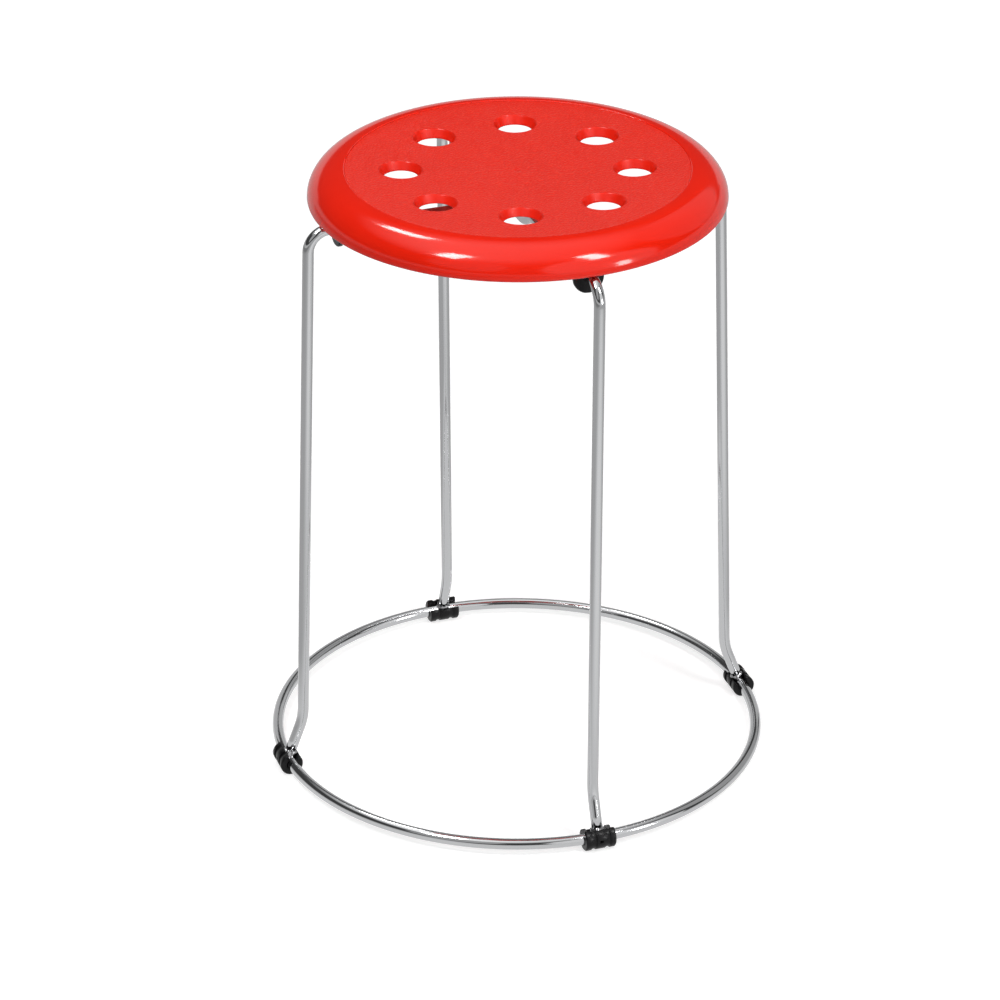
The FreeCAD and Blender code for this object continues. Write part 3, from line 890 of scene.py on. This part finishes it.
def sheet(name, corners):
    """A flat four-sided object with the given corners."""
    mesh = bpy.data.meshes.new(name)
    mesh.from_pydata(corners, [], [(0, 1, 2, 3)])
    piece = bpy.data.objects.new(name, mesh)
    bpy.context.scene.collection.objects.link(piece)
    return piece


floor_half = 6
floor_corners = [
    (-floor_half, -floor_half, 0),
    (floor_half, -floor_half, 0),
    (floor_half, floor_half, 0),
    (-floor_half, floor_half, 0),
]
studio_floor = sheet("studio_floor", floor_corners)
floor_paint = bpy.data.materials.new("floor_paint")
floor_paint.use_nodes = True
floor_tree = floor_paint.node_tree
floor_shader = floor_tree.nodes["Principled BSDF"]
floor_shader.inputs["Base Color"].default_value = (0.55, 0.55, 0.55, 1)
floor_shader.inputs["Roughness"].default_value = 0.9
floor_shader.inputs["Specular IOR Level"].default_value = 0.1
floor_glow = floor_tree.nodes.new("ShaderNodeEmission")
floor_glow.inputs["Color"].default_value = (1, 1, 1, 1)
floor_sum = floor_tree.nodes.new("ShaderNodeAddShader")
floor_rays = floor_tree.nodes.new("ShaderNodeLightPath")
floor_pick = floor_tree.nodes.new("ShaderNodeMixShader")
floor_tree.links.new(floor_shader.outputs["BSDF"], floor_sum.inputs[0])
floor_tree.links.new(floor_glow.outputs["Emission"], floor_sum.inputs[1])
floor_tree.links.new(floor_rays.outputs["Is Camera Ray"], floor_pick.inputs["Fac"])
floor_tree.links.new(floor_shader.outputs["BSDF"], floor_pick.inputs[1])
floor_tree.links.new(floor_sum.outputs["Shader"], floor_pick.inputs[2])
# What glossy rays see of the floor is painted light. It is an emission that is brightest in a pool
# round the stool and in a spot in front of it, and dimmer far off and to the left. It stands in
# for the floor's lit and shaded look in reflections.
floor_place = floor_tree.nodes.new("ShaderNodeTexCoord")
spot_place = floor_tree.nodes.new("ShaderNodeMapping")
spot_place.inputs["Location"].default_value = (-0.15, 0.75, 0)
floor_tree.links.new(floor_place.outputs["Object"], spot_place.inputs["Vector"])
spot_reach = floor_tree.nodes.new("ShaderNodeVectorMath")
spot_reach.operation = "LENGTH"
floor_tree.links.new(spot_place.outputs["Vector"], spot_reach.inputs[0])
far_from_spot = spot_reach.outputs["Value"]
spot_shine = mapped(floor_tree, far_from_spot, (0.2, 0.9), (1.0, 0.55), "SMOOTHSTEP")
near_reach = floor_tree.nodes.new("ShaderNodeVectorMath")
near_reach.operation = "LENGTH"
floor_tree.links.new(floor_place.outputs["Object"], near_reach.inputs[0])
far_from_stool = near_reach.outputs["Value"]
near_shine = mapped(floor_tree, far_from_stool, (0.20, 0.42), (0.86, 0.4), "SMOOTHSTEP")
floor_brighter = combined(floor_tree, "MAXIMUM", spot_shine, near_shine)
far_glow = mapped(floor_tree, far_from_stool, (0.7, 2.6), (0.68, 1.0))
floor_tree.links.new(far_glow, floor_glow.inputs["Strength"])
floor_parts = floor_tree.nodes.new("ShaderNodeSeparateXYZ")
floor_tree.links.new(floor_place.outputs["Object"], floor_parts.inputs["Vector"])
left_dim = mapped(floor_tree, floor_parts.outputs["X"], (-1.8, -0.8), (0.5, 1.0))
floor_shine = combined(floor_tree, "MULTIPLY", floor_brighter, left_dim)
# This emission is the painted light that glossy rays see on the floor, in place of the lit floor.
painted_floor_light = floor_tree.nodes.new("ShaderNodeEmission")
floor_tree.links.new(floor_shine, painted_floor_light.inputs["Strength"])
floor_view = floor_tree.nodes.new("ShaderNodeMixShader")
floor_tree.links.new(floor_rays.outputs["Is Glossy Ray"], floor_view.inputs["Fac"])
floor_tree.links.new(floor_pick.outputs["Shader"], floor_view.inputs[1])
floor_tree.links.new(painted_floor_light.outputs["Emission"], floor_view.inputs[2])
floor_output = floor_tree.nodes["Material Output"]
floor_tree.links.new(floor_view.outputs["Shader"], floor_output.inputs["Surface"])
studio_floor.data.materials.append(floor_paint)


lamp_aim_height = 0.35


def soft_box(name, azimuth, elevation, distance, width, height, power):
    """A rectangular lamp that faces the seat from the given direction."""
    a = math.radians(azimuth)
    e = math.radians(elevation)
    lamp = bpy.data.lights.new(name, "AREA")
    lamp.shape = "RECTANGLE"
    lamp.size = width
    lamp.size_y = height
    lamp.energy = power
    holder = bpy.data.objects.new(name, lamp)
    way = Vector((math.sin(a) * math.cos(e), -math.cos(a) * math.cos(e), math.sin(e)))
    holder.location = Vector((0, 0, lamp_aim_height)) + way * distance
    holder.rotation_mode = "QUATERNION"
    holder.rotation_quaternion = (-way).to_track_quat("-Z", "Y")
    bpy.context.scene.collection.objects.link(holder)
    return holder


soft_box(
    "soft_box_left", azimuth=-69, elevation=57, distance=2.0, width=0.34, height=0.54, power=15.5
)
soft_box(
    "soft_box_right", azimuth=29, elevation=49, distance=2.0, width=0.29, height=0.66, power=15
)
soft_box(
    "soft_box_behind", azimuth=-165, elevation=56, distance=2.4, width=0.34, height=0.48, power=10
)
soft_box(
    "standing_light", azimuth=35, elevation=7, distance=3.0, width=0.40, height=0.8, power=17
)
front_fill = soft_box(
    "front_fill", azimuth=-15, elevation=28, distance=4.2, width=4.0, height=3.0, power=38
)
front_fill.visible_glossy = False

card_half = 0.95
card_top = 0.64
card_corners = [
    (-card_half, 0, 0),
    (card_half, 0, 0),
    (card_half, 0, card_top),
    (-card_half, 0, card_top),
]
back_card = sheet("back_card", card_corners)
back_card.location = (0.285, 1.06, 0.001)
back_card.rotation_euler = (0, 0, math.radians(-15))
card_paint = bpy.data.materials.new("card_paint")
card_paint.use_nodes = True
card_tree = card_paint.node_tree
card_tree.nodes.remove(card_tree.nodes["Principled BSDF"])
card_glow = card_tree.nodes.new("ShaderNodeEmission")
card_glow.inputs["Strength"].default_value = 0.62
card_output = card_tree.nodes["Material Output"]
card_tree.links.new(card_glow.outputs["Emission"], card_output.inputs["Surface"])
back_card.data.materials.append(card_paint)
back_card.visible_camera = False
back_card.visible_diffuse = False
back_card.visible_shadow = False

world = bpy.data.worlds.new("studio_air")
bpy.context.scene.world = world
world.use_nodes = True
air = world.node_tree
air_glow = air.nodes["Background"]
air_glow.inputs["Color"].default_value = (1, 1, 1, 1)
air_way = air.nodes.new("ShaderNodeTexCoord")
air_parts = air.nodes.new("ShaderNodeSeparateXYZ")
air.links.new(air_way.outputs["Generated"], air_parts.inputs["Vector"])
air_ceiling = mapped(air, air_parts.outputs["Z"], (0.63, 0.90), (0, 1))
air_lean = air.nodes.new("ShaderNodeVectorMath")
air_lean.operation = "DOT_PRODUCT"
air_lean.inputs[1].default_value = (-0.75, 0.40, 1.20)
air.links.new(air_way.outputs["Generated"], air_lean.inputs[0])
air_top = combined(air, "MULTIPLY", air_ceiling, air_lean.outputs["Value"])
air_skirt = mapped(air, air_parts.outputs["Z"], (0.06, 0.12), (0.62, 0.07))
air_shine = combined(air, "MAXIMUM", air_top, air_skirt)
card_softness = 0.02
cards = [
    ((0.417, -0.856, 0.309), 0.839, 0.95),
    ((-0.650, -0.545, 0.530), 0.93, 0.5),
    ((0.810, 0.217, 0.545), 0.88, 0.45),
]
for way, edge, glow in cards:
    card_way = air.nodes.new("ShaderNodeVectorMath")
    card_way.operation = "DOT_PRODUCT"
    card_way.inputs[1].default_value = way
    air.links.new(air_way.outputs["Generated"], card_way.inputs[0])
    inside = (edge, edge + card_softness)
    card_shine = mapped(air, card_way.outputs["Value"], inside, (0, glow))
    air_shine = combined(air, "MAXIMUM", air_shine, card_shine)
air_rays = air.nodes.new("ShaderNodeLightPath")
air_pick = air.nodes.new("ShaderNodeMix")
air_pick.data_type = "FLOAT"
air_pick.inputs["A"].default_value = 0.14
air.links.new(air_rays.outputs["Is Glossy Ray"], air_pick.inputs["Factor"])
air.links.new(air_shine, air_pick.inputs["B"])
air_backdrop = air.nodes.new("ShaderNodeMix")
air_backdrop.data_type = "FLOAT"
air_backdrop.inputs["B"].default_value = 1
air.links.new(air_rays.outputs["Is Camera Ray"], air_backdrop.inputs["Factor"])
air.links.new(air_pick.outputs["Result"], air_backdrop.inputs["A"])
air.links.new(air_backdrop.outputs["Result"], air_glow.inputs["Strength"])

camera = bpy.data.cameras.new("camera")
camera.sensor_width = 36
camera.lens = 159.78
camera.clip_end = 100
eye = bpy.data.objects.new("camera", camera)
eye.location = (-1.01607, -2.64695, 1.66162)
eye.rotation_mode = "QUATERNION"
eye.rotation_quaternion = Vector((0.314441, 0.829903, -0.460855)).to_track_quat("-Z", "Y")
bpy.context.scene.collection.objects.link(eye)
bpy.context.scene.camera = eye
bpy.context.scene.view_settings.view_transform = "Standard"
